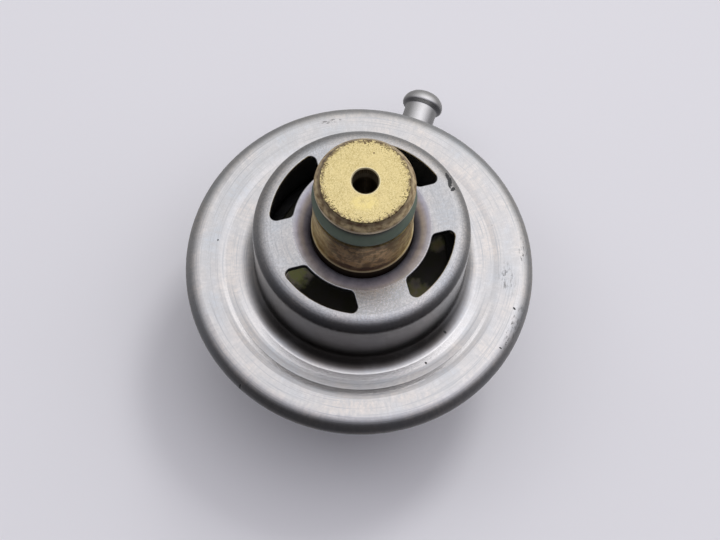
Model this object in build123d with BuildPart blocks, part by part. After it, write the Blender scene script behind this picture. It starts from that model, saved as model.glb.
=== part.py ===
from build123d import *
import os
from math import hypot, sqrt

# Fuel pressure regulator, capsule type.
# A drawn housing and a drawn cover clamp a diaphragm between their flanges.
# The diaphragm carries a ball valve, and a coil spring holds it on the seat of the outlet stem.
# Millimetres, +Z along the axis towards the stem, +X along the vacuum nipple.
# The origin is on the axis, in the plane of the flange's seat face.

os.makedirs("parts", exist_ok=True)

# Thickness of each sheet
housing_sheet = 0.9
cover_sheet = 0.8
seat_sheet = 1.0
plate_t = 0.8
diaphragm_t = 0.6

# Outlet stem
stem_d = 13.0
stem_top_z = 26.5
stem_bore_d = 3.28
bore_edge = 0.15
head_d = 12.66
head_slope_w = 0.78
head_slope_h = 1.2
head_land = 0.6
groove_w = 4.25
land_step = 0.18
land_rise = 0.4
stem_end_chamfer = 0.25

# Stem O-ring: it stands a little proud and rests on the groove's lower wall
ring_section = 2.6
ring_proud = 0.12
ring_room = 0.05

# Housing cup, from the stem outwards
cup_h = 12.5
collar_len = 1.6
neck_bend_r = 2.3
ridge_w = 0.19
slot_w = 2.97
slot_edge = 0.21
cup_corner_r = 2.0
base_fillet_r = 2.0

# Inlet slots, with straight bridges between them
slot_count = 4
bridge_w = 6.95
slot_corner_r = 0.8
slot_lip_r = 0.15
slot_lip_share = 0.8
slot_turn = -12.0

# Housing flange, from the cup outwards
ring_w = 2.1
ring_drop = 0.1
step_w = 0.8
step_low_bend_r = 0.5
step_top_bend_r = 4.0
clamp_w = 2.75
rim_top_bend_r = 2.0
rim_low_bend_r = 1.0
lip_w = 1.6
edge_gap = 0.2

# Cover
cover_bend_r = 1.0
cover_depth = 18.6
cover_corner_r = 3.0
boss_depth = 1.4
boss_slope_w = 0.85
boss_base_r = 1.1
boss_top_r = 0.5

# Vacuum nipple
nipple_drop = 10.1
nipple_reach = 16.05
nipple_inside = 0.5
nipple_d = 4.8
nipple_bore_d = 2.8
bead_d = 6.0
bead_rise_w = 0.5
bead_land_w = 1.2
bead_nose_w = 1.0
bead_face_d = 4.2
bead_round_r = 0.3
bead_nose_r = 0.7

# Diaphragm group: with the valve closed, the diaphragm's centre stands above its clamped edge
centre_rise = 2.1
plate_gap = 1.45
plate_edge_r = 0.35
seat_rim_h = 3.5
seat_bend_r = 1.6
roll_room = 0.5
roll_gap = 0.6
roll_depth = 2.0
roll_slope = 0.2
roll_top_r = 0.9
roll_floor_r = 0.8
bead_gap = 0.4

# Valve
ball_d = 6.0
ball_flat_cut = 0.65
ball_clearance = 0.05
carrier_wall = 1.65
carrier_floor = 0.4
carrier_edge = 0.4
shank_d = 6.4
rivet_h = 0.9
rivet_d = 8.4
rivet_floor = 1.5
retainer_t = 0.6
retainer_w = 1.0
retainer_lap = 0.5
nose_h = 0.6
nose_d = 3.8
seat_ring_d = 6.6
seat_ring_len = 4.0
seat_bore_d = 2.6

# Springs
wire_d = 2.3
spring_pitch = 4.0
spring_clearance = 0.45
spring_guide_gap = 0.4
ball_wire_d = 0.6
ball_spring_d = 3.2
ball_spring_pitch = 1.15
ball_spring_room = 0.4
ground_share = 0.4

# How far from its true place an edge may be found
reach = 0.01

# Radii of the housing and the cover, each from the one inside it
stem_r = stem_d / 2
head_r = head_d / 2
land_r = stem_r + land_step
slot_in_r = land_r + neck_bend_r + ridge_w
slot_out_r = slot_in_r + slot_w
cup_r = slot_out_r + slot_edge + cup_corner_r
cup_inner_r = cup_r - housing_sheet
ring_out_r = cup_r + base_fillet_r + ring_w
clamp_in_r = ring_out_r + step_w
clamp_out_r = clamp_in_r + clamp_w
rim_outer_r = clamp_out_r + rim_top_bend_r
clamped_r = clamp_out_r - edge_gap
bead_in_r = clamp_in_r + bead_gap
cover_r = clamp_in_r - cover_bend_r
cover_inner_r = cover_r - cover_sheet

# Radii of the valve group
ball_r = ball_d / 2
pocket_r = ball_r + ball_clearance
carrier_r = pocket_r + carrier_wall
shank_r = shank_d / 2
retainer_hole_r = pocket_r - retainer_lap
retainer_r = retainer_hole_r + retainer_w
plate_r = cup_inner_r - plate_gap
roll_in_r = plate_r + roll_room + diaphragm_t
roll_out_r = cover_inner_r - roll_gap - diaphragm_t
wire_r = wire_d / 2
spring_r = plate_r - seat_sheet - spring_clearance - wire_r
boss_r = spring_r - wire_r - spring_guide_gap - cover_sheet
ball_wire_r = ball_wire_d / 2
ball_spring_r = ball_spring_d / 2
ball_spring_bore_r = ball_spring_r + ball_wire_r + ball_spring_room

# Heights, from the clamped edge of the diaphragm to its centre, the valve and its seat
clamp_top_z = -housing_sheet
web_top_z = clamp_top_z - ring_drop
clamp_low_z = web_top_z - diaphragm_t
centre_top_z = web_top_z + centre_rise
centre_low_z = centre_top_z - diaphragm_t
plate_top_z = centre_top_z + plate_t
pocket_low_z = plate_top_z + carrier_floor
ball_z = pocket_low_z + pocket_r
seat_z = ball_z + ball_r - ball_flat_cut
stem_low_z = seat_z + nose_h
collar_low_z = cup_h - neck_bend_r - collar_len
land_top_z = cup_h + land_rise
retainer_low_z = ball_z + sqrt(pocket_r**2 - retainer_hole_r**2)
retainer_top_z = retainer_low_z + retainer_t
seat_low_z = centre_low_z - seat_sheet
rivet_low_z = seat_low_z - rivet_h
ball_spring_low_z = rivet_low_z + rivet_floor

# Heights of the cover, from its clamped flange down
cover_flange_z = clamp_low_z - cover_sheet
cover_end_z = cover_flange_z - cover_depth
cover_floor_z = cover_end_z + cover_sheet
boss_z = cover_end_z + boss_depth
nipple_z = cover_flange_z - nipple_drop
rim_low_z = cover_flange_z - housing_sheet

# O-ring and its groove
groove_top_z = stem_top_z - head_slope_h - head_land
groove_low_z = groove_top_z - groove_w
ring_mean_r = stem_r + ring_proud - ring_section / 2
groove_r = ring_mean_r - ring_section / 2 - ring_room
ring_z = groove_low_z + ring_section / 2 + ring_room


def close_sheet(thickness):
    """Give the skin drawn so far its thickness, on the right of its direction, and fill it."""
    offset(amount=-thickness, side=Side.RIGHT, mode=Mode.ADD)


def coil(foot_z, top_z, pitch, radius, wire):
    """Return a round wire wound along a helix from foot_z to top_z."""
    with BuildPart() as turns:
        with BuildLine():
            path = Helix(pitch, top_z - foot_z, radius, center=(0, 0, foot_z))
        with BuildSketch(Plane(origin=path @ 0, z_dir=path % 0)):
            Circle(wire)
        sweep(path=path, is_frenet=True)
    return turns.part


# Fuel-side housing: collar, neck, cup, flange and the rim curled over the cover's flange
with BuildPart() as fuel_side_housing:
    with BuildSketch(Plane.XZ):
        with BuildLine():
            FilletPolyline(
                (land_r, collar_low_z),
                (land_r, cup_h),
                (cup_r, cup_h),
                (cup_r, -ring_drop),
                (ring_out_r, -ring_drop),
                (clamp_in_r, 0),
                (rim_outer_r, 0),
                (rim_outer_r, rim_low_z),
                (clamp_out_r - lip_w, rim_low_z),
                radius=[
                    neck_bend_r,
                    cup_corner_r,
                    base_fillet_r,
                    step_low_bend_r,
                    step_top_bend_r,
                    rim_top_bend_r,
                    rim_low_bend_r,
                ],
            )
            close_sheet(housing_sheet)
        make_face()
    revolve(axis=Axis.Z)
    with BuildSketch(Plane.XY.offset(cup_h)) as slots:
        Circle(slot_out_r)
        Circle(slot_in_r, mode=Mode.SUBTRACT)
        first_bridge = slot_turn + 360 / slot_count / 2
        with PolarLocations((slot_in_r + slot_out_r) / 2, slot_count, start_angle=first_bridge):
            Rectangle(2 * slot_w, bridge_w, mode=Mode.SUBTRACT)
        fillet(slots.vertices(), slot_corner_r)
    extrude(amount=-2 * housing_sheet, mode=Mode.SUBTRACT)
    top_edges = fuel_side_housing.edges().group_by(Axis.Z)[-1]
    slot_edges = top_edges.filter_by(
        lambda edge: slot_in_r - reach < hypot(*tuple(edge @ 0.5)[:2]) < slot_out_r + reach
    )
    slot_lip = min(slot_lip_r, slot_lip_share * ridge_w, slot_lip_share * slot_edge)
    fillet(slot_edges, slot_lip)
fuel_side_housing.part.label = "fuel_side_housing"

# Outlet stem: head, O-ring groove, body, pressed land and a pocket for the seat ring
with BuildPart() as outlet_stem:
    with BuildSketch(Plane.XZ):
        with BuildLine():
            Polyline(
                (stem_bore_d / 2, stem_top_z - bore_edge),
                (stem_bore_d / 2 + bore_edge, stem_top_z),
                (head_r - head_slope_w, stem_top_z),
                (head_r, stem_top_z - head_slope_h),
                (head_r, groove_top_z),
                (groove_r, groove_top_z),
                (groove_r, groove_low_z),
                (stem_r, groove_low_z),
                (stem_r, land_top_z),
                (land_r, land_top_z - land_step),
                (land_r, stem_low_z + stem_end_chamfer),
                (land_r - stem_end_chamfer, stem_low_z),
                (seat_ring_d / 2, stem_low_z),
                (seat_ring_d / 2, stem_low_z + seat_ring_len),
                (stem_bore_d / 2, stem_low_z + seat_ring_len),
                close=True,
            )
        make_face()
    revolve(axis=Axis.Z)
outlet_stem.part.label = "outlet_stem"

# Seat ring: pressed into the stem, with a narrow nose that the ball's flat closes
with BuildPart() as valve_seat:
    with BuildSketch(Plane.XZ):
        with BuildLine():
            Polyline(
                (seat_bore_d / 2, seat_z),
                (nose_d / 2, seat_z),
                (nose_d / 2 + nose_h, stem_low_z),
                (seat_ring_d / 2, stem_low_z),
                (seat_ring_d / 2, stem_low_z + seat_ring_len),
                (seat_bore_d / 2, stem_low_z + seat_ring_len),
                close=True,
            )
        make_face()
    revolve(axis=Axis.Z)
valve_seat.part.label = "valve_seat"

# O-ring in the stem's groove
with BuildPart() as stem_o_ring:
    with BuildSketch(Plane.XZ):
        with Locations((ring_mean_r, ring_z)):
            Circle(ring_section / 2)
    revolve(axis=Axis.Z)
stem_o_ring.part.label = "stem_o_ring"

# Cover: flange, wall, flat end with a pressed-in boss, and the hole for the nipple
with BuildPart() as spring_cover:
    with BuildSketch(Plane.XZ):
        with BuildLine():
            FilletPolyline(
                (clamped_r, cover_flange_z),
                (cover_r, cover_flange_z),
                (cover_r, cover_end_z),
                (boss_r, cover_end_z),
                (boss_r - boss_slope_w, boss_z),
                (0, boss_z),
                radius=[cover_bend_r, cover_corner_r, boss_base_r, boss_top_r],
            )
            close_sheet(cover_sheet)
        make_face()
    revolve(axis=Axis.Z)
    with BuildSketch(Plane(origin=(0, 0, nipple_z), z_dir=(1, 0, 0))):
        Circle(nipple_d / 2)
    extrude(amount=cover_r + cover_sheet, mode=Mode.SUBTRACT)
spring_cover.part.label = "spring_cover"

# Vacuum nipple: a tube brazed into the cover's wall, with a rolled bead for the hose
nipple_end_x = cover_r + nipple_reach
bead_land_x = nipple_end_x - bead_nose_w - bead_land_w
bead_foot_x = bead_land_x - bead_rise_w
with BuildPart() as vacuum_nipple:
    with BuildSketch(Plane.XZ):
        with BuildLine():
            FilletPolyline(
                (cover_inner_r - nipple_inside, nipple_z + nipple_bore_d / 2),
                (cover_inner_r - nipple_inside, nipple_z + nipple_d / 2),
                (bead_foot_x, nipple_z + nipple_d / 2),
                (bead_land_x, nipple_z + bead_d / 2),
                (nipple_end_x - bead_nose_w, nipple_z + bead_d / 2),
                (nipple_end_x, nipple_z + bead_face_d / 2),
                (nipple_end_x, nipple_z + nipple_bore_d / 2),
                radius=[0, bead_round_r, bead_round_r, bead_nose_r, bead_round_r],
            )
            Line(
                (nipple_end_x, nipple_z + nipple_bore_d / 2),
                (cover_inner_r - nipple_inside, nipple_z + nipple_bore_d / 2),
            )
        make_face()
    revolve(axis=Axis((0, 0, nipple_z), (1, 0, 0)))
vacuum_nipple.part.label = "vacuum_nipple"

# Diaphragm: flat centre, one roll and an edge held between the flanges, thicker outside the step
with BuildPart() as diaphragm:
    with BuildSketch(Plane.XZ):
        with BuildLine():
            FilletPolyline(
                (shank_r, centre_top_z),
                (roll_in_r, centre_top_z),
                (roll_in_r + roll_slope, web_top_z - roll_depth),
                (roll_out_r - roll_slope, web_top_z - roll_depth),
                (roll_out_r, web_top_z),
                (clamped_r, web_top_z),
                radius=[roll_top_r, roll_floor_r, roll_floor_r, roll_top_r],
            )
            close_sheet(diaphragm_t)
        make_face()
    revolve(axis=Axis.Z)
    with BuildSketch(Plane.XY.offset(web_top_z)):
        Circle(clamped_r)
        Circle(bead_in_r, mode=Mode.SUBTRACT)
    extrude(amount=ring_drop)
diaphragm.part.label = "diaphragm"

# Backing plate on the fuel side of the diaphragm
with BuildPart() as backing_plate:
    with BuildSketch(Plane.XY.offset(centre_top_z)):
        Circle(plate_r)
        Circle(shank_r, mode=Mode.SUBTRACT)
    extrude(amount=plate_t)
    plate_rim = backing_plate.edges().group_by(Axis.Z)[-1].sort_by(SortBy.RADIUS)[-1]
    fillet(plate_rim, plate_edge_r)
backing_plate.part.label = "backing_plate"

# Spring seat: a shallow cup under the diaphragm that guides the main spring
with BuildPart() as spring_seat:
    with BuildSketch(Plane.XZ):
        with BuildLine():
            FilletPolyline(
                (shank_r, centre_low_z),
                (plate_r, centre_low_z),
                (plate_r, centre_low_z - seat_rim_h),
                radius=[seat_bend_r],
            )
            close_sheet(seat_sheet)
        make_face()
    revolve(axis=Axis.Z)
spring_seat.part.label = "spring_seat"

# Valve carrier: head with the ball's pocket, shank through the stack, riveted end
with BuildPart() as valve_carrier:
    with BuildSketch(Plane.XZ):
        with BuildLine():
            Polyline(
                (0, ball_spring_low_z),
                (ball_spring_bore_r, ball_spring_low_z),
                (ball_spring_bore_r, pocket_low_z),
                (pocket_r, pocket_low_z),
                (pocket_r, retainer_low_z),
                (retainer_r, retainer_low_z),
                (retainer_r, retainer_top_z),
                (carrier_r - carrier_edge, retainer_top_z),
                (carrier_r, retainer_top_z - carrier_edge),
                (carrier_r, plate_top_z),
                (shank_r, plate_top_z),
                (shank_r, seat_low_z),
                (rivet_d / 2, seat_low_z),
                (rivet_d / 2 - rivet_h / 2, rivet_low_z),
                (0, rivet_low_z),
                close=True,
            )
        make_face()
    revolve(axis=Axis.Z)
valve_carrier.part.label = "valve_carrier"

# Ball with a ground flat that lies on the seat's nose
with BuildPart() as valve_ball:
    with Locations((0, 0, ball_z)):
        Sphere(ball_r)
    split(bisect_by=Plane.XY.offset(seat_z), keep=Keep.BOTTOM)
valve_ball.part.label = "valve_ball"

# Ring in the carrier's mouth that keeps the ball in
with BuildPart() as ball_retainer:
    with BuildSketch(Plane.XY.offset(retainer_low_z)):
        Circle(retainer_r)
        Circle(retainer_hole_r, mode=Mode.SUBTRACT)
    extrude(amount=retainer_t)
ball_retainer.part.label = "ball_retainer"

# Small spring that lifts the ball against its retainer
ball_spring_top_z = ball_z - sqrt((pocket_r + ball_wire_r) ** 2 - ball_spring_r**2)
ball_spring_foot_z = ball_spring_low_z + ground_share * ball_wire_r
with BuildPart() as ball_spring:
    add(
        coil(
            ball_spring_foot_z, ball_spring_top_z, ball_spring_pitch, ball_spring_r, ball_wire_r
        )
    )
    split(bisect_by=Plane.XY.offset(ball_spring_low_z), keep=Keep.TOP)
ball_spring.part.label = "ball_spring"

# Main spring, ground flat at both ends
main_spring_foot_z = cover_floor_z + ground_share * wire_r
main_spring_top_z = seat_low_z - ground_share * wire_r
with BuildPart() as main_spring:
    add(coil(main_spring_foot_z, main_spring_top_z, spring_pitch, spring_r, wire_r))
    split(bisect_by=Plane.XY.offset(cover_floor_z), keep=Keep.TOP)
    split(bisect_by=Plane.XY.offset(seat_low_z), keep=Keep.BOTTOM)
main_spring.part.label = "main_spring"

pieces = [
    fuel_side_housing,
    outlet_stem,
    valve_seat,
    stem_o_ring,
    spring_cover,
    vacuum_nipple,
    diaphragm,
    backing_plate,
    spring_seat,
    valve_carrier,
    valve_ball,
    ball_retainer,
    ball_spring,
    main_spring,
]
for piece in pieces:
    export_step(piece.part, f"parts/{piece.part.label}.step")
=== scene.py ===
# %% [markdown]
# # A fuel pressure regulator, as it lies on a workbench
#
# The regulator is a drawn steel capsule. A slotted cup with a wide flange is curled over the flange
# of a deep cover, and a rubber diaphragm is clamped between them. A turned brass stem stands in the
# middle of the cup. The CAD frame holds the rigid pieces at their real size, so this lesson is about
# what the CAD leaves open: the light, the finishes with their wear, and the soft and springy pieces.

# %% Load the CAD frame
from math import atan2, cos, pi, radians, sin

import bmesh
import bpy
from mathutils import Matrix, Vector


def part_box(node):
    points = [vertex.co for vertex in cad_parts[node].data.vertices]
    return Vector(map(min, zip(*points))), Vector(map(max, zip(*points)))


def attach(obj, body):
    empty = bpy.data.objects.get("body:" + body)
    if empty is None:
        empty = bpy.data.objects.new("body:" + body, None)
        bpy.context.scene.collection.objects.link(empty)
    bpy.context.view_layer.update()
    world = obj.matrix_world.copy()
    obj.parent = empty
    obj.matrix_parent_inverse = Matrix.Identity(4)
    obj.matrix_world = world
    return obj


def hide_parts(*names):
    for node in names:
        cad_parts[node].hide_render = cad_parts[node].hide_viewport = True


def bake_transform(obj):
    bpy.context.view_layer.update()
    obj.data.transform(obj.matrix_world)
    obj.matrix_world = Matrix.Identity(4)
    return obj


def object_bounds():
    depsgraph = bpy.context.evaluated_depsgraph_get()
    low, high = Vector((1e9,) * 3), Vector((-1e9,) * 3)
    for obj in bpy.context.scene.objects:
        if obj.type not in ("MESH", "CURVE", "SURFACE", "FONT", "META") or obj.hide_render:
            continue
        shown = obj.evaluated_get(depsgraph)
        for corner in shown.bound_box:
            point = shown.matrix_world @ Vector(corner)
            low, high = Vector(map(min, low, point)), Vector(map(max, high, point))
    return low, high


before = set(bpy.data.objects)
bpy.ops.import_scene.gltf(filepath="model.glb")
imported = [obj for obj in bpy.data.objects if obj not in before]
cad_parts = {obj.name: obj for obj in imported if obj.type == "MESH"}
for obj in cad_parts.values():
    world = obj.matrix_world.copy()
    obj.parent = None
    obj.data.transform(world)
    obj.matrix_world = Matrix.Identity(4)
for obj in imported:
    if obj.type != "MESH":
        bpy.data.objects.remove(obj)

cad_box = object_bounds()
mm = 0.001
print("CAD nodes:", ", ".join(sorted(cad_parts)))

# %% [markdown]
# ## The camera
#
# Five ellipses of the photograph (rim, cup, slots, collar and stem head) have one axis, and the only
# camera that draws them all in their places stands about 22 cm away, 69 degrees above the bench.
# The lens follows from the focal length in pixels. The photograph's right-hand side isn't the
# model's +X, because +X is the vacuum nipple, so one angle turns the photograph's frame into ours.

# %% Camera
image_size = (720, 540)
focal_px = 1600
sensor_mm = 36.0
camera_height = radians(68.75)
camera_roll = radians(4.0)
camera_distance = 221.3 * mm
axis_px = (359.6, 264.85)
rim_middle_z = -1.6 * mm
photo_turn = radians(-75.8)


def make_camera():
    """Stands the camera where the axis of the rim falls on axis_px."""
    ahead = Vector((0, cos(camera_height), -sin(camera_height)))
    level = Vector((1, 0, 0))
    upward = Vector((0, sin(camera_height), cos(camera_height)))
    to_right = level * cos(camera_roll) + upward * sin(camera_roll)
    to_top = upward * cos(camera_roll) - level * sin(camera_roll)
    aside = (axis_px[0] - image_size[0] / 2) * camera_distance / focal_px
    above = (image_size[1] / 2 - axis_px[1]) * camera_distance / focal_px
    place = -(to_right * aside + to_top * above + ahead * camera_distance)
    turned = Matrix((to_right, to_top, -ahead)).transposed().to_4x4()
    stand = Matrix.Translation((0, 0, rim_middle_z)) @ Matrix.Rotation(photo_turn, 4, "Z")
    data = bpy.data.cameras.new("camera")
    data.sensor_width = sensor_mm
    data.lens = focal_px / image_size[0] * sensor_mm
    camera = bpy.data.objects.new("camera", data)
    camera.matrix_world = stand @ Matrix.Translation(place) @ turned
    bpy.context.scene.collection.objects.link(camera)
    bpy.context.scene.camera = camera
    return camera


camera = make_camera()
print("camera at", [round(c / mm, 1) for c in camera.matrix_world.translation], "mm, lens", camera.data.lens)

# %% [markdown]
# ## The bench and the light
#
# Satin metal shows its surroundings more than its own colour, so the light decides how it looks.
# In the photograph the light is soft and comes from above and behind the part: the flange and the
# stem's face mirror it and are pale, while the near wall of the cup mirrors the dark side where the
# photographer stands. A sky that is bright towards one direction and dim towards another gives both.
# Two softboxes, which the metal doesn't mirror, add the soft shadow towards the camera. Nor does the
# metal mirror the bench, whose far parts would light up the near side of the rim.

# %% Bench
bench_half = 1.6


def make_bench():
    """A large pale plate under the part."""
    shape = bmesh.new()
    bmesh.ops.create_grid(shape, x_segments=1, y_segments=1, size=bench_half)
    bmesh.ops.translate(shape, verts=shape.verts, vec=(0, 0, cad_box[0][2]))
    mesh = bpy.data.meshes.new("bench")
    shape.to_mesh(mesh)
    shape.free()
    bench = bpy.data.objects.new("bench", mesh)
    bpy.context.scene.collection.objects.link(bench)
    bench.visible_glossy = False
    return bench


bench = make_bench()
print("bench at", round(cad_box[0][2] / mm, 2), "mm")

# %% Softboxes
def toward(angle, height):
    """Direction at an angle in the photograph (0 right, 90 far side) and a height above the bench."""
    turn = radians(angle) + photo_turn
    level = cos(radians(height))
    return Vector((level * cos(turn), level * sin(turn), sin(radians(height))))


def softbox(name, angle, height, distance, size, power, tone):
    """A square area light that faces the part, its distance and size in metres."""
    data = bpy.data.lights.new(name, "AREA")
    data.shape = "SQUARE"
    data.size = size
    data.energy = power
    data.color = tone
    light = bpy.data.objects.new(name, data)
    direction = toward(angle, height)
    light.location = direction * distance
    light.visible_glossy = False
    light.rotation_euler = direction.to_track_quat("Z", "Y").to_euler()
    bpy.context.scene.collection.objects.link(light)
    return light


softbox("back_softbox", angle=60, height=55, distance=0.75, size=0.17, power=1.15, tone=(1.0, 0.99, 0.98))
softbox("left_softbox", angle=165, height=50, distance=0.8, size=0.22, power=0.2, tone=(0.98, 0.99, 1.0))

# %% [markdown]
# ## Writing finishes as sums
#
# A finish is worked out from the place of each point: how far it is from the axis, how far round,
# how high. Joining dozens of nodes by hand hides that thought, so one small class lets a socket be
# written in an ordinary sum: 1 - mask adds the Math node by itself. Every other node comes from one
# method, which takes the node's type, its settings and what goes into its sockets.

# %% The class
class Field:
    """A number, colour or vector that changes over a surface."""

    def __init__(self, tree, socket):
        self.tree = tree
        self.socket = socket

    def node(self, kind, settings, inputs, output=0):
        """Adds any node to the tree, its settings first, and returns one of its outputs."""
        node = self.tree.nodes.new("ShaderNode" + kind)
        for name, setting in settings.items():
            setattr(node, name, setting)
        for name, value in inputs.items():
            if isinstance(value, Field):
                self.tree.links.new(value.socket, node.inputs[name])
            else:
                node.inputs[name].default_value = value
        return Field(self.tree, node.outputs[output])

    def math(self, operation, first, second=0.0):
        """A Math node of one or two values."""
        return self.node("Math", {"operation": operation}, {0: first, 1: second})

    def __add__(self, other):
        return self.math("ADD", self, other)

    def __radd__(self, other):
        return self.math("ADD", other, self)

    def __sub__(self, other):
        return self.math("SUBTRACT", self, other)

    def __rsub__(self, other):
        return self.math("SUBTRACT", other, self)

    def __mul__(self, other):
        return self.math("MULTIPLY", self, other)

    def __rmul__(self, other):
        return self.math("MULTIPLY", other, self)

    def __truediv__(self, other):
        return self.math("DIVIDE", self, other)

    def __pow__(self, other):
        return self.math("POWER", self, other)

    def larger(self, other):
        """The larger of this field and another value."""
        return self.math("MAXIMUM", self, other)

    def sine(self):
        return self.math("SINE", self)

    def rise(self, low, high):
        """0 below low, 1 above high, and a smooth change between them."""
        limits = {"Value": self, "From Min": low, "From Max": high}
        return self.node("MapRange", {"interpolation_type": "SMOOTHSTEP"}, limits)

    def band(self, low, high, soft):
        """1 between low and high, falling to 0 over a width of soft outside them."""
        return self.rise(low - soft, low) * (1 - self.rise(high, high + soft))

    def mixed(self, first, second):
        """The first colour where this field is 0, the second where it is 1."""
        return self.node("Mix", {"data_type": "RGBA"}, {0: self, 6: first, 7: second}, 2)

    def parts(self):
        """The three numbers of a vector."""
        return [self.node("SeparateXYZ", {}, {0: self}, axis) for axis in range(3)]

    def noise(self, scale, detail=2.0, roughness=0.5):
        """Soft random blotches, about 1 / scale millimetres wide."""
        inputs = {"Vector": self, "Scale": scale, "Detail": detail, "Roughness": roughness}
        return self.node("TexNoise", {}, inputs)

    def dots(self, scale):
        """Distance to the nearest of scattered points, about 1 / scale millimetres apart."""
        return self.node("TexVoronoi", {}, {"Vector": self, "Scale": scale})


print("a field can do:", ", ".join(name for name in vars(Field) if not name.startswith("_")))

# %% A new finish
def joined(first, second, third):
    """A vector of three numbers, at least the first of which is a field."""
    return first.node("CombineXYZ", {}, {0: first, 1: second, 2: third})


class Finish:
    """A material with one Principled shader, and the places of its points in millimetres."""

    def __init__(self, name):
        self.material = bpy.data.materials.new(name)
        self.material.use_nodes = True
        self.tree = self.material.node_tree
        self.shader = self.tree.nodes["Principled BSDF"]
        coordinates = Field(self.tree, self.tree.nodes.new("ShaderNodeTexCoord").outputs["Object"])
        scale = {0: coordinates, "Scale": 1 / mm}
        self.point = coordinates.node("VectorMath", {"operation": "SCALE"}, scale)
        self.x, self.y, self.z = self.point.parts()
        self.radius = (self.x * self.x + self.y * self.y) ** 0.5
        self.slope = self.radius - self.z

    def streaks(self, around, across, detail=2.0):
        """Marks that run round the axis where around is small, and across it where around is large."""
        ring = joined(self.x / self.radius * around, self.y / self.radius * around, self.slope * across)
        return ring.noise(1.0, detail)

    def mark(self, angle, radius, length, width, tilt=0.0, ragged=0.0, grain=3.0, core=0.75):
        """An oblong mark at an angle of the photograph and a radius.

        Its length lies along the radius, turned by the tilt. It is full in its core and fades to its edge.
        """
        turn = radians(angle) + photo_turn
        place = {
            "Vector": self.point,
            "Location": (radius * cos(turn), radius * sin(turn), 0.0),
            "Rotation": (0.0, 0.0, turn + radians(tilt)),
            "Scale": (length / 2, width / 2, 1.0),
        }
        along, aside = self.point.node("Mapping", {"vector_type": "TEXTURE"}, place).parts()[:2]
        distance = (along * along + aside * aside) ** 0.5
        if ragged:
            distance = distance + (self.point.noise(grain) - 0.5) * ragged
        return 1 - distance.rise(core, 1.0)

    def sector(self, middle, half_width, soft):
        """1 within a sector round an angle of the photograph, falling to 0 over the soft degrees."""
        turn = radians(middle) + photo_turn
        facing = (self.x * cos(turn) + self.y * sin(turn)) / self.radius
        return facing.rise(cos(radians(half_width + soft)), cos(radians(half_width)))

    def bump(self, height):
        """Feeds a height in millimetres to the shader as bumps."""
        self.set(Normal=height.node("Bump", {}, {"Height": height, "Distance": mm, "Strength": 1.0}))

    def set(self, **inputs):
        """Links or sets sockets of the shader. An underscore in a name stands for a space."""
        for name, value in inputs.items():
            socket = self.shader.inputs[name.replace("_", " ")]
            if isinstance(value, Field):
                self.tree.links.new(value.socket, socket)
            else:
                socket.default_value = value


def colour(red, green, blue):
    """An opaque colour of red, green and blue."""
    return (red, green, blue, 1.0)


def grey(level, warmth=0.0):
    """A grey that leans to red when warmth is positive and to blue when it is negative."""
    return colour(level * (1 + warmth), level, level * (1 - warmth))


def dress(node, finish):
    """Gives a CAD node its finish in place of the plain one."""
    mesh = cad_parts[node].data
    mesh.materials.clear()
    mesh.materials.append(finish.material)
    print(node, "wears", finish.material.name)


print("a warm grey:", grey(0.5, 0.1))

# %% [markdown]
# ## The sky
#
# The world is only a direction and a brightness. Its bright part lies where the flat faces mirror it
# into the camera, and its dark part lies round the camera itself.

# %% World
sky_power = 1.34
far_horizon = 0.3
near_horizon = 0.05
window_place = (90, 76)
window_narrowness = 2.5
side_window_place = (20, 38)
side_window_power = 0.2
left_level = 0.81
right_gain = 0.33
far_tone = colour(1.0, 0.98, 0.99)
near_tone = colour(0.93, 0.905, 1.0)


def make_sky():
    """A plain sky, bright over the far side and dim over the camera's side."""
    world = bpy.data.worlds.new("studio")
    world.use_nodes = True
    tree = world.node_tree
    look = Field(tree, tree.nodes.new("ShaderNodeTexCoord").outputs["Generated"])

    def facing(angle, height):
        direction = tuple(toward(angle, height))
        return look.node("VectorMath", {"operation": "DOT_PRODUCT"}, {0: look, 1: direction}, 1)

    near = facing(-90, 0).rise(-0.9, 0.9)
    horizon = far_horizon - (far_horizon - near_horizon) * near
    window = facing(*window_place).larger(0.0) ** window_narrowness
    side_window = facing(*side_window_place).rise(0.7, 1.0)
    from_right = left_level + right_gain * facing(10, 0).rise(-0.35, 0.35)
    brightness = (horizon + (1.0 - horizon) * window + side_window_power * side_window) * from_right
    tone = near.mixed(far_tone, near_tone)
    background = tree.nodes["Background"]
    tree.links.new(tone.socket, background.inputs["Color"])
    tree.links.new((brightness * sky_power).socket, background.inputs["Strength"])
    bpy.context.scene.world = world


make_sky()
bpy.context.scene.view_settings.view_transform = "Standard"
print("sky of power", sky_power, "with a horizon from", near_horizon, "to", far_horizon)

# %% [markdown]
# ## The bench's finish
#
# The photograph's floor is a pale bluish sheet, almost matt. A plain colour would do, but a wide and
# weak noise lets its tone wander, as that of a real sheet does.

# %% Bench finish
bench_finish = Finish("pale_sheet")
sheet_tone = bench_finish.point.noise(0.02)
bench_finish.set(
    Base_Color=sheet_tone.mixed(colour(0.76, 0.761, 0.796), colour(0.776, 0.777, 0.812)),
    Roughness=0.6,
)
bench.data.materials.append(bench_finish.material)
print("bench wears", bench_finish.material.name)

# %% [markdown]
# ## The drawn stainless housing
#
# The real cup and flange are one deep-drawn sheet, tumbled after pressing: the surface is satin, with
# short strokes across it, faint lines that run round it where the tools slid, and warm and cool patches
# from handling. Several soft random fields are laid over each other, and each darkens the steel a
# little where it is low, so that none of them is seen alone.

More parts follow.
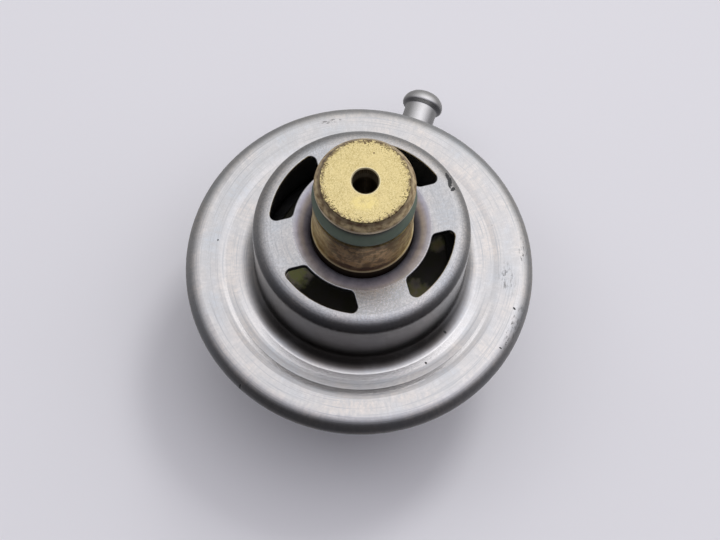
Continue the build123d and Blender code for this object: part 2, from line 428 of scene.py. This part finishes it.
# %% The steel's own tone
housing = Finish("satin_stainless")
blotches = housing.point.noise(0.16, 3.0, 0.6)
clouds = housing.streaks(9.0, 0.7, 4.0) * 0.5 + housing.point.noise(0.9, 4.0, 0.65) * 0.5
patches = (housing.streaks(1.4, 0.3, 3.0) * 0.5 + blotches * 0.5).rise(0.36, 0.64)
strokes = housing.streaks(46.0, 0.9, 3.0)
rings = housing.streaks(2.0, 5.0, 3.0)
grit = housing.point.noise(3.5, 4.0, 0.75).rise(0.35, 0.65)
cool_steel = grey(0.56, -0.055)
warm_steel = grey(0.63, 0.065)
steel = patches.mixed(cool_steel, warm_steel)
steel = (clouds.rise(0.38, 0.6) * 0.35 + 0.65).mixed(grey(0.47), steel)
steel = strokes.rise(0.2, 0.7).mixed(grey(0.515), steel)
steel = rings.rise(0.28, 0.5).mixed(grey(0.46, -0.02), steel)
print("cool steel", cool_steel[:3], "and warm steel", warm_steel[:3])

# %% [markdown]
# ## Marks on the housing
#
# Marks of wear are placed where the part shows them: a black gouge on the cup's shoulder, scuffs by the
# rim, a nick in the rim and a few specks. Each is an oval with a ragged edge. The scuffs are broken up by
# a finer noise too, because a rub only catches the high spots of the sheet.

# %% Marks of wear
def wear(finish, spots):
    """The strongest of several oblong marks at each point."""
    worn = finish.mark(*spots[0])
    for spot in spots[1:]:
        worn = worn.larger(finish.mark(*spot))
    return worn


# Angle in the photograph, radius, length, width, tilt, raggedness, grain, and the core of a soft mark
gouges = [
    (27.8, 13.1, 0.9, 0.55, 20, 0.9, 4.0),
    (32.6, 13.2, 2.0, 0.62, 60, 0.9, 4.0),
    (36.6, 13.4, 0.55, 1.5, -20, 0.9, 4.0),
]
dark_spots = [
    (-128.4, 23.9, 0.5, 0.35, 0, 0.6, 3.0),
    (-38.2, 15.45, 0.55, 0.28, 10, 0.6, 4.0),
    (175.4, 19.76, 0.2, 0.3, 0, 0.4, 5.0),
    (-14.2, 22.1, 0.5, 0.3, -30, 0.7, 4.0),
    (-55.1, 17.1, 0.35, 0.3, 0, 0.8, 4.0),
    (-29.5, 22.7, 0.45, 0.2, 10, 0.8, 4.0),
]
scuffed_areas = [
    (-20, 22.9, 1.6, 7.6, 0, 0.6, 0.8),
    (-4, 20.4, 3.0, 7.0, 15, 0.7, 0.8, 0.1),
    (8, 22.6, 1.2, 4.0, 0, 1.0, 0.8),
    (105, 21.6, 0.8, 3.5, 0, 0.6, 0.8),
]
speckle = (housing.streaks(26.0, 4.0, 3.0) * 0.6 + housing.point.noise(7.0, 3.0, 0.7) * 0.4).rise(0.51, 0.6)
scuffs = wear(housing, scuffed_areas) * speckle
pits = (1 - housing.point.dots(0.3).rise(0.02, 0.05)) * blotches.rise(0.5, 0.6)
dirt = wear(housing, gouges + dark_spots)
print("marks on the housing:", len(gouges + dark_spots), "dark and", len(scuffed_areas), "scuffed")

# %% [markdown]
# ## Film, dirt, painted shade and painted highlights on the housing
#
# The cup's wall is darkened a little all round by a thin, grainy brown coat, and much more on its near half,
# lowest down, as painted shade where it mirrors the dark side. The corner at its foot is darkened by painted
# shade on the near half and by blotchy fuel dirt all round. On the near half, painted highlights lighten the
# face of the flange's step and the flat just outside the wall's foot, and painted shade darkens the flange
# on either side of the step. The neck round the stem is bluish and matt. All of these follow the cup's
# outline, so each is a range of heights or of radii, in millimetres.

# %% Film, dirt, painted shade and painted highlights
wall_foot = (0.6, 2.5)
wall_top = (10.5, 12.2)
corner = (14.2, 15.4)
neck_edge = (8.4, 9.35)
# Radii of painted highlights and painted shade on the flange's near half.
foot_highlight_band = (16.3, 17.1)
inner_step_shade_band = (17.7, 18.3)
step_highlight_band = (18.6, 18.95)
outer_step_shade_band = (19.25, 19.7)
near_half = housing.sector(-88, 40, 45)
above_foot = housing.z.rise(*wall_foot)
on_wall = above_foot * (1 - housing.z.rise(*wall_top))
# Painted shade: the near wall is darkened further low down, in mottles.
low_wall_shade = (1 - housing.z.rise(2.0, 9.0)) * clouds.rise(0.3, 0.6) * 0.2 + grit * 0.3 - 0.03
# A thin grainy brown coat on the wall, and painted shade much darker on its near half.
film_and_wall_shade = above_foot * 0.1 + on_wall * (0.18 + grit * 0.1 + (0.52 + low_wall_shade) * near_half)
# Painted shade on the near half, on either side of the flange's step.
step_shade = (housing.radius.band(*outer_step_shade_band, 0.15) + housing.radius.band(*inner_step_shade_band, 0.2)) * near_half * 0.28
# Painted highlights on the step's face and on the flat just outside the wall's foot.
step_highlights = housing.radius.band(*foot_highlight_band, 0.3) * 0.55 + housing.radius.band(*step_highlight_band, 0.12) * 0.85
in_corner = housing.radius.band(*corner, 1.0) * housing.z.band(-1.0, 2.0, 1.5)
# Mostly painted shade in the corner on the near half, with blotchy dirt all round.
foot_dirt_and_shade = in_corner * (near_half * 0.78 + blotches.rise(0.35, 0.6) * 0.2)
on_neck = 1 - housing.radius.rise(*neck_edge)
sanded = (1 - grit) * (0.12 + 0.3 * housing.z.rise(9.0, 11.5))
print("film on the wall from", wall_foot[0], "to", wall_top[1], "mm, dirt at radius", corner)

# %% Housing finish
neck_tone = clouds.rise(0.35, 0.65).mixed(colour(0.25, 0.245, 0.33), colour(0.39, 0.38, 0.48))
# Painted highlight: the step's face and the flat outside the wall's foot are lightened on the near half.
steel = (step_highlights * near_half).mixed(steel, grey(0.95, 0.01))
steel = sanded.mixed(steel, grey(0.3, -0.04))
# Painted shade on the near wall and beside the step, over the thin brown coat on the wall.
steel = (film_and_wall_shade + step_shade).mixed(steel, grey(0.06, 0.08))
steel = (scuffs * 0.75).mixed(steel, grey(0.10, 0.04))
steel = (pits * 0.55).mixed(steel, grey(0.12, 0.05))
# Painted shade and dirt darken the corner at the wall's foot.
steel = foot_dirt_and_shade.mixed(steel, grey(0.10, 0.08))
steel = (on_neck * 0.75).mixed(steel, neck_tone)
steel = (dirt * 0.93).mixed(steel, grey(0.018, -0.1))
housing.set(
    Base_Color=steel,
    Metallic=1 - dirt * 0.7 - on_neck * 0.4,
    Roughness=0.17 + 0.06 * rings + 0.07 * strokes + 0.2 * dirt + 0.1 * scuffs + 0.15 * on_neck,
)
tumbled = housing.point.noise(2.0, 2.0, 0.5) * 0.003 + clouds * 0.0025
drawn = rings * 0.0012 + strokes * 0.0012 + grit * (0.0015 + housing.z.rise(1.0, 3.0) * 0.0035)
housing.bump(tumbled + drawn - dirt * 0.03)
dress("fuel_side_housing", housing)

# %% [markdown]
# ## The cover and the nipple
#
# Both are steel too, and little of them is seen, so their finish is plainer: one tone that wanders a
# little, over fine lines or a fine grain. At its root the nipple takes the colour of the copper braze
# that holds it.

# %% Cover finish
cover = Finish("satin_cover")
cover_rings = cover.streaks(4.0, 2.0, 3.0)
cover_tone = cover.point.noise(0.2, 3.0)
cover.set(
    Base_Color=cover_tone.mixed(grey(0.48, 0.02), grey(0.56, -0.01)),
    Metallic=1.0,
    Roughness=0.27 + 0.12 * cover_rings,
)
cover.bump(cover_rings * 0.003)
dress("spring_cover", cover)

# %% Nipple finish
nipple = Finish("drawn_tube")
root_edge = (19.0, 19.4)
nipple_tone = nipple.point.noise(0.6, 3.0)
at_root = 1 - (nipple.x + nipple_tone * 0.6).rise(*root_edge)
tube_tone = nipple_tone.mixed(grey(0.52, 0.01), grey(0.62, -0.01))
nipple.set(
    Base_Color=(at_root * 0.75).mixed(tube_tone, colour(0.62, 0.38, 0.22)),
    Metallic=1.0,
    Roughness=0.22 + 0.12 * nipple.point.noise(2.5, 3.0),
)
nipple.bump(nipple.point.noise(3.0, 3.0) * 0.004)
dress("vacuum_nipple", nipple)

# %% [markdown]
# ## The turned brass stem
#
# The head's face is grainy and pale where it was faced off, with a painted highlight ring round the bore, a
# bore painted dark as shade, and a dark, ragged edge. The slope below it is brown under that edge and pale
# at its foot. The stem's side is yellow at the left and the right; towards the camera it is brown in
# blotches, mostly a painted reflection of the dark side, partly tarnished. Painted shade darkens the near
# side of its foot, the crevice at the cup's neck and the O-ring's groove, and a painted highlight runs along
# the land. Each of the three has a cell of its own, and a last cell puts them together by height, in
# millimetres.

# %% Face of the stem's head
brass = Finish("turned_brass")
grain = brass.point.noise(7.0, 4.0, 0.7)
cloud = brass.point.noise(0.8, 3.0, 0.6)
face = grain.rise(0.3, 0.7).mixed(colour(0.52, 0.42, 0.17), colour(0.84, 0.73, 0.40))
face = (cloud.rise(0.4, 0.65) * 0.5).mixed(face, colour(0.78, 0.66, 0.33))
edge_share = brass.radius.rise(4.0, 5.6) * 0.34 * cloud.rise(0.35, 0.6)
specks = (1 - (brass.point.dots(4.6) - edge_share).rise(0.05, 0.18)) * 0.9
face = specks.mixed(face, colour(0.16, 0.12, 0.05))
# Painted highlight: a pale ring on the face round the bore's chamfer.
face = brass.radius.band(1.6, 1.82, 0.08).mixed(face, colour(0.86, 0.78, 0.5))
ragged = brass.radius + (brass.point.noise(1.8, 4.0, 0.7) - 0.5) * 0.5
worn_edge = ragged.rise(5.0, 5.5) * brass.point.noise(2.2, 4.0, 0.7).rise(0.42, 0.56)
face = (worn_edge * 0.85).mixed(face, colour(0.12, 0.08, 0.055))
gold = brass.mark(-88, 2.9, 2.6, 4.2, 0, 1.6, 0.8)
face = (gold * cloud.rise(0.3, 0.7) * 0.5).mixed(face, colour(0.92, 0.78, 0.30))
face_spots = [(94.2, 5.11, 0.45, 0.3, 0, 0.5, 4.0), (77.9, 3.91, 0.25, 0.25, 0, 0.4, 4.0)]
stain = wear(brass, face_spots) + brass.mark(-39, 5.5, 0.7, 1.8, 0, 1.3, 3.0) * 0.6
face = (stain * 0.8).mixed(face, colour(0.09, 0.05, 0.03))
print("face of the head, with", len(face_spots), "dark spots")

# %% Slope of the stem's head
slope_foot = (25.0, 25.35)
slope_top = (25.7, 26.15)
slope_tone = brass.streaks(7.0, 1.2, 4.0).rise(0.3, 0.7)
slope = slope_tone.mixed(colour(0.30, 0.20, 0.11), colour(0.88, 0.72, 0.43))
slope = ((1 - brass.z.rise(*slope_foot)) * 0.7).mixed(slope, colour(0.95, 0.82, 0.62))
upper = brass.z.rise(*slope_top) * 0.6 * (1 - brass.sector(20, 30, 30) * 0.8)
slope = upper.mixed(slope, colour(0.13, 0.08, 0.06))
print("slope pale below", slope_foot[0], "and brown above", slope_top[1], "mm")

# %% Side of the stem
foot_band = (12.2, 12.9)
crevice = (12.45, 12.8)
land = (12.72, 12.95)
under_groove = (20.2, 21.4)
near_side = brass.sector(-88, 20, 34)
side_tone = brass.streaks(5.0, 0.9, 4.0) * 0.4 + brass.point.noise(0.9, 5.0, 0.7) * 0.6
side = side_tone.rise(0.4, 0.6).mixed(colour(0.66, 0.45, 0.16), colour(1.0, 0.83, 0.40))
brown_tone = brass.point.noise(0.7, 5.0, 0.7).rise(0.42, 0.58)
# Painted reflection: brown blotches on the camera side, mostly standing in for the dark side it mirrors,
# partly tarnished.
tarnish_and_dark_reflection = brown_tone.mixed(colour(0.26, 0.15, 0.10), colour(0.86, 0.60, 0.33))
side = (near_side * side_tone.rise(0.2, 0.5) * 0.75).mixed(side, tarnish_and_dark_reflection)
# Painted shade: the near side of the stem's foot is darkened.
near_foot_shade = (brass.z - brass.point.noise(0.6, 3.0) * 1.5).band(*foot_band, 0.6)
side = (near_foot_shade * near_side * 0.7).mixed(side, colour(0.15, 0.08, 0.07))
# Painted shade in the O-ring's groove, between the ring and the head.
groove_shade = (brass.z + brass.point.noise(0.9, 3.0) * 2.0).rise(*under_groove) * 0.45
side = groove_shade.mixed(side, colour(0.14, 0.09, 0.07))
# Painted shade in the crevice where the stem enters the cup's neck.
crevice_shade = 1 - brass.z.rise(*crevice)
side = crevice_shade.mixed(side, colour(0.12, 0.085, 0.05))
# Painted highlight along the land's edge.
land_highlight = brass.z.band(*land, 0.08) * brass.radius.rise(6.5, 6.6)
side = (land_highlight * 0.85).mixed(side, colour(0.8, 0.68, 0.42))
print("side of the stem, with its land bright from", land[0], "to", land[1], "mm")

# %% Brass finish
face_edge = (26.3, 26.45)
groove_edge = (24.0, 24.1)
bore_edge = (1.62, 1.66)
on_face = brass.z.rise(*face_edge)
above_groove = brass.z.rise(*groove_edge)
# Painted shade: the bore is coloured nearly black.
bore_shade = 1 - brass.radius.rise(*bore_edge)
tone = above_groove.mixed(side, slope)
tone = on_face.mixed(tone, face)
tone = bore_shade.mixed(tone, colour(0.02, 0.015, 0.008))
brass.set(
    Base_Color=tone,
    Metallic=1 - above_groove * (1 - on_face) * 0.35,
    Roughness=0.34 + 0.12 * grain + 0.08 * side_tone,
)
brass.bump(grain * 0.008 * on_face - specks * 0.012 * on_face + side_tone * 0.004)
dress("outlet_stem", brass)

# %% [markdown]
# ## The O-ring
#
# The ring is grey-green rubber, matt and almost of one tone, but dark on its inner side, where it lies in
# the groove under the stem's head. The shade there isn't deep enough by itself, so the colour darkens
# towards the axis as well.

# %% O-ring finish
rubber = Finish("green_rubber")
ring_inside = (5.6, 6.15)
rubber_tone = rubber.point.noise(1.2, 3.0)
rubber_colour = rubber_tone.mixed(colour(0.10, 0.135, 0.102), colour(0.14, 0.178, 0.135))
under_head = (1 - rubber.radius.rise(*ring_inside)) * 0.85
rubber.set(
    Base_Color=under_head.mixed(rubber_colour, colour(0.02, 0.02, 0.018)),
    Roughness=0.42 + 0.15 * rubber_tone,
)
rubber.bump(rubber.point.noise(6.0, 3.0) * 0.003)
dress("stem_o_ring", rubber)

# %% [markdown]
# ## Inside the cup
#
# Through the slots the zinc-plated plate on the diaphragm shows, yellow only in places. Its ground is
# painted dark as shade, and the yellow and brown patches are painted pools of the light that falls in
# through the slots. They are placed marks, because the photograph shows where in each slot they lie.

# %% Yellow zinc finish
zinc = Finish("yellow_zinc")
stains = zinc.point.noise(0.5, 4.0, 0.6)
# Painted light: a yellow pool of light on the plate under one slot.
slot_light_pool = wear(zinc, [(-163, 9.7, 7.4, 6.8, 0, 0.6, 1.2, 0.45)])
# Painted light: dimmer brown pools of light under other slots.
dim_light_pools = wear(zinc, [(-31, 9.4, 6.2, 4.4, 0, 0.8, 1.2, 0.2), (12.5, 10.8, 3.0, 2.4, 40, 0.8, 1.2, 0.1)])
dim_light_pools = dim_light_pools * (0.35 + zinc.streaks(14.0, 0.3, 3.0) * 0.8)
passivated = stains.rise(0.42, 0.58).mixed(colour(0.86, 0.9, 0.36), colour(1.0, 0.92, 0.74))
passivated = (dim_light_pools * 0.95).mixed(passivated, colour(0.40, 0.31, 0.16))
# Painted shade: the plate is nearly black wherever no painted light falls.
painted_dark_ground = (1 - slot_light_pool.larger(dim_light_pools)) * 0.97
zinc.set(
    Base_Color=painted_dark_ground.mixed(passivated, colour(0.03, 0.026, 0.02)),
    Metallic=0.1,
    Roughness=0.42 + 0.1 * stains,
)
dress("backing_plate", zinc)
dress("spring_seat", zinc)

# %% [markdown]
# ## The turned and wound steel inside
#
# The carrier, the seat, the ball and the springs are closed in, so no marks are placed on them. One
# helper makes all four steels, because they differ only in their greys and in their polish.

# %% Other finishes inside
def turned(name, low, high, roughness):
    """Plain bright or dark steel, with faint turning lines."""
    finish = Finish(name)
    lines = finish.streaks(1.5, 3.0, 3.0)
    finish.set(
        Base_Color=lines.mixed(grey(low, 0.01), grey(high)),
        Metallic=1.0,
        Roughness=roughness + 0.1 * lines,
    )
    return finish


carrier_steel = turned("turned_steel", 0.4, 0.5, 0.3)
hard_steel = turned("hardened_steel", 0.42, 0.52, 0.18)
ball_steel = turned("polished_steel", 0.6, 0.7, 0.08)
wire_steel = turned("phosphated_wire", 0.16, 0.24, 0.4)
dress("valve_carrier", carrier_steel)
dress("valve_seat", hard_steel)
dress("ball_retainer", hard_steel)
dress("valve_ball", ball_steel)
dress("ball_spring", wire_steel)
dress("main_spring", wire_steel)

# %% [markdown]
# ## The diaphragm's rubber
#
# Black rubber over a fabric, whose threads show through as a fine weave. One wave for each direction
# of thread is enough, because their product rises and falls as the crossings do.

# %% Diaphragm finish
black = Finish("woven_rubber")
thread_scale = 9.0
weave = (black.x * thread_scale).sine() * (black.y * thread_scale).sine()
black_tone = black.point.noise(0.8, 3.0)
black.set(Base_Color=black_tone.mixed(grey(0.018), grey(0.035)), Roughness=0.5 + 0.15 * black_tone)
black.bump(weave * 0.01)
dress("diaphragm", black)

# %% [markdown]
# ## The pieces that change shape
#
# Two pieces don't keep one shape. The diaphragm rolls and the main spring shortens as the valve lifts.
# Each is made the way it comes to be: an outline turned about the axis, and a wire wound along it.

# %% From a mesh to a piece
def add_piece(name, shape, finish):
    """Makes an object of a mesh in the making, with its finish."""
    bmesh.ops.recalc_face_normals(shape, faces=shape.faces)
    for face in shape.faces:
        face.smooth = True
    mesh = bpy.data.meshes.new(name)
    shape.to_mesh(mesh)
    shape.free()
    piece = bpy.data.objects.new(name, mesh)
    piece.data.materials.append(finish.material)
    bpy.context.scene.collection.objects.link(piece)
    print(name, "has", len(mesh.polygons), "faces")
    return piece


# %% Rolling diaphragm
rubber_t = 0.6 * mm
skin = 0.02 * mm
shank_r = 3.2 * mm
roll_in_r = 13.1 * mm
roll_out_r = 16.25 * mm
roll_lean = 0.2 * mm
roll_bend = 0.85 * mm
clamp_z = -1.0 * mm
edge_rise = 0.1 * mm
edge_in_r = 19.65 * mm
bend_segments = 6
disc_steps = 96


def make_diaphragm():
    """A rubber disc with one roll, and an edge that the two flanges hold."""
    low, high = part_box("diaphragm")
    floor_z = low.z + rubber_t - skin
    outline = [
        (shank_r + skin, high.z - skin),
        (roll_in_r, high.z - skin),
        (roll_in_r + roll_lean, floor_z),
        (roll_out_r - roll_lean, floor_z),
        (roll_out_r, clamp_z - skin),
        (edge_in_r, clamp_z - skin),
        (edge_in_r + edge_rise, clamp_z + edge_rise - skin),
        (high.x - skin, clamp_z + edge_rise - skin),
    ]
    shape = bmesh.new()
    verts = [shape.verts.new((radius, 0, z)) for radius, z in outline]
    for pair in zip(verts, verts[1:]):
        shape.edges.new(pair)
    bmesh.ops.bevel(
        shape,
        geom=verts[1:5],
        offset=roll_bend,
        segments=bend_segments,
        profile=0.5,
        affect="VERTICES",
        material=-1,
    )
    bmesh.ops.spin(
        shape,
        geom=shape.verts[:] + shape.edges[:],
        axis=(0, 0, 1),
        angle=2 * pi,
        steps=disc_steps,
        use_merge=True,
    )
    bmesh.ops.recalc_face_normals(shape, faces=shape.faces)
    bmesh.ops.solidify(shape, geom=shape.faces[:], thickness=rubber_t - 2 * skin)
    return add_piece("rolling_diaphragm", shape, black)


rolling_diaphragm = make_diaphragm()
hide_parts("diaphragm")
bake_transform(rolling_diaphragm)

# %% Main spring
spring_r = 9.4 * mm
wire_r = 1.15 * mm
pitch = 4.0 * mm
foot_rise = 0.46 * mm
wire_sides = 20
steps_a_turn = 48


def make_spring():
    """A round wire wound from the cover's floor to the spring seat, its ends ground flat."""
    low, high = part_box("main_spring")
    turns = (high.z - low.z - 2 * foot_rise) / pitch
    steps = round(turns * steps_a_turn)
    shape = bmesh.new()
    lead = atan2(pitch, 2 * pi * spring_r)
    place = Matrix.Translation((spring_r, 0, low.z + foot_rise)) @ Matrix.Rotation(pi / 2 + lead, 4, "X")
    bmesh.ops.create_circle(shape, segments=wire_sides, radius=wire_r, matrix=place)
    bmesh.ops.spin(
        shape,
        geom=shape.verts[:] + shape.edges[:],
        axis=(0, 0, 1),
        dvec=(0, 0, (high.z - low.z - 2 * foot_rise) / steps),
        angle=2 * pi * turns,
        steps=steps,
    )
    bmesh.ops.holes_fill(shape, edges=[edge for edge in shape.edges if edge.is_boundary])
    for height, outwards in ((low.z, -1), (high.z, 1)):
        everything = shape.verts[:] + shape.edges[:] + shape.faces[:]
        plane = {"plane_co": (0, 0, height - outwards * skin), "plane_no": (0, 0, outwards)}
        cut = bmesh.ops.bisect_plane(shape, geom=everything, clear_outer=True, **plane)["geom_cut"]
        bmesh.ops.holes_fill(shape, edges=[item for item in cut if isinstance(item, bmesh.types.BMEdge)])
    return add_piece("main_coil", shape, wire_steel)


main_coil = make_spring()
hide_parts("main_spring")
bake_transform(main_coil)

# %% [markdown]
# ## The nipple and its braze
#
# Seen in the photograph, the nipple's bead is a little shorter and nearer the rim than the frame has
# it, so the tube is turned here again about its own axis. Braze has run into the corner where it enters
# the cover, and both are one body of metal that rides on the housing.

# %% Nipple with its braze
tube_r = 2.4 * mm
tube_bore_r = 1.4 * mm
bead_r = 3.05 * mm
bead_end = 33.4 * mm
bead_length = 2.3 * mm
bead_rise = 0.4 * mm
bead_top = 1.35 * mm
mouth_r = 2.15 * mm
wall_r = 18.25 * mm
braze_w = 0.9 * mm
braze_foot = 0.1 * mm
corner_segments = 5
tube_steps = 64


def make_nipple():
    """A beaded tube turned about the nipple's axis, with a fillet of braze at the cover's wall."""
    low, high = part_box("vacuum_nipple")
    foot = bead_end - bead_length
    sunk = wall_r - braze_w / 2
    # Each point along the tube, its distance from the tube's axis, and how far its corner is rounded
    outline = [
        (low.x, tube_bore_r, 0.0),
        (low.x, tube_r - skin, 0.0),
        (sunk, tube_r - skin, 0.0),
        (sunk, tube_r + braze_w, 0.0),
        (wall_r + braze_foot, tube_r, 0.6 * mm),
        (foot, tube_r, 0.15 * mm),
        (foot + bead_rise, bead_r, 0.25 * mm),
        (foot + bead_top, bead_r, 0.55 * mm),
        (bead_end, mouth_r, 0.35 * mm),
        (bead_end, tube_bore_r, 0.1 * mm),
    ]
    shape = bmesh.new()
    verts = [shape.verts.new((x, 0, (low.z + high.z) / 2 + radius)) for x, radius, bend in outline]
    for pair in zip(verts, verts[1:] + verts[:1]):
        shape.edges.new(pair)
    for vert, (x, radius, bend) in zip(verts, outline):
        if bend:
            bmesh.ops.bevel(
                shape,
                geom=[vert],
                offset=bend,
                segments=corner_segments,
                profile=0.5,
                affect="VERTICES",
                material=-1,
            )
    bmesh.ops.spin(
        shape,
        geom=shape.verts[:] + shape.edges[:],
        cent=(0, 0, (low.z + high.z) / 2),
        axis=(1, 0, 0),
        angle=2 * pi,
        steps=tube_steps,
        use_merge=True,
    )
    return add_piece("brazed_nipple", shape, nipple)


brazed_nipple = make_nipple()
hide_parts("vacuum_nipple")
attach(brazed_nipple, "housing")
